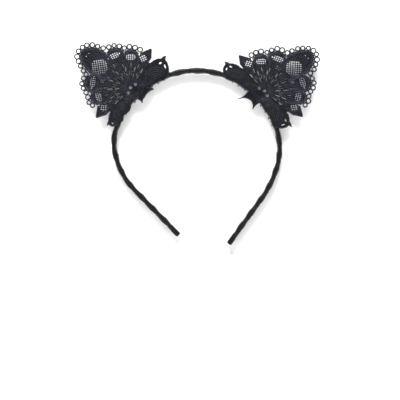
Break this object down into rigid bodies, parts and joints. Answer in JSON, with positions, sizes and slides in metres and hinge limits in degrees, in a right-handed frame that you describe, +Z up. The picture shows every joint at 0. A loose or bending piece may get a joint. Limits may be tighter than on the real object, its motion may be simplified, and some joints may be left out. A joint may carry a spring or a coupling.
{
  "type": "animal ears headband",
  "caption": "Ribbon-wound spring headband with openwork lace cat ears sewn along its crown.",
  "frame": {"origin": "middle of the crown's inner face, where the band rests on the top of the head", "axes": "+X across the head towards the wearer's left, -Y the front that carries the lace, +Z up"},
  "size_m": [0.1876, 0.0099, 0.1551],
  "materials": {
    "spring_steel": "bright rolled strip",
    "satin_ribbon": "black satin, soft sheen",
    "embroidery_thread": "black satin stitch",
    "embroidered_net": "black net stitch",
    "sewing_thread": "black polyester thread"
  },
  "bodies": {
    "crown": {"core_crown": "spring_steel", "ribbon_crown": "satin_ribbon"},
    "left_side": {"core_left": "spring_steel", "ribbon_left": "satin_ribbon", "tip_tuck_left": "satin_ribbon", "lace_base_left": "embroidery_thread", "seam_thread_left": "sewing_thread"},
    "right_side": {"core_right": "spring_steel", "ribbon_right": "satin_ribbon", "tip_tuck_right": "satin_ribbon", "lace_base_right": "embroidery_thread", "seam_thread_right": "sewing_thread"},
    "left_ear": {"lace_fan_left": "embroidery_thread", "net_tip_left": "embroidered_net", "net_inner_upper_left": "embroidered_net", "net_inner_lower_left": "embroidered_net", "net_outer_upper_left": "embroidered_net", "net_outer_lower_left": "embroidered_net", "net_spike_upper_left": "embroidered_net", "net_spike_lower_left": "embroidered_net", "picot_edging_left": "embroidery_thread"},
    "right_ear": {"lace_fan_right": "embroidery_thread", "net_tip_right": "embroidered_net", "net_inner_upper_right": "embroidered_net", "net_inner_lower_right": "embroidered_net", "net_outer_upper_right": "embroidered_net", "net_outer_lower_right": "embroidered_net", "net_spike_upper_right": "embroidered_net", "net_spike_lower_right": "embroidered_net", "picot_edging_right": "embroidery_thread"}
  },
  "joints": [
    {"name": "left_arm_flex", "type": "hinge", "parent": "crown", "child": "left_side", "pos_m": [-0.01193, 0, 0.0008], "axis": [0, 1, 0], "range_deg": [-4, 20], "stiffness_Nm_per_rad": 0.5},
    {"name": "right_arm_flex", "type": "hinge", "parent": "crown", "child": "right_side", "pos_m": [0.01193, 0, 0.0008], "axis": [0, -1, 0], "range_deg": [-4, 20], "stiffness_Nm_per_rad": 0.5},
    {"name": "left_ear_fold", "type": "hinge", "parent": "left_side", "child": "left_ear", "pos_m": [-0.04795, -0.0043, -0.0134], "axis": [-0.6252, 0, -0.7804], "range_deg": [-45, 45], "stiffness_Nm_per_rad": 0.01},
    {"name": "right_ear_fold", "type": "hinge", "parent": "right_side", "child": "right_ear", "pos_m": [0.04991, -0.0043, -0.01606], "axis": [-0.7206, 0, 0.6934], "range_deg": [-45, 45], "stiffness_Nm_per_rad": 0.01}
  ]
}
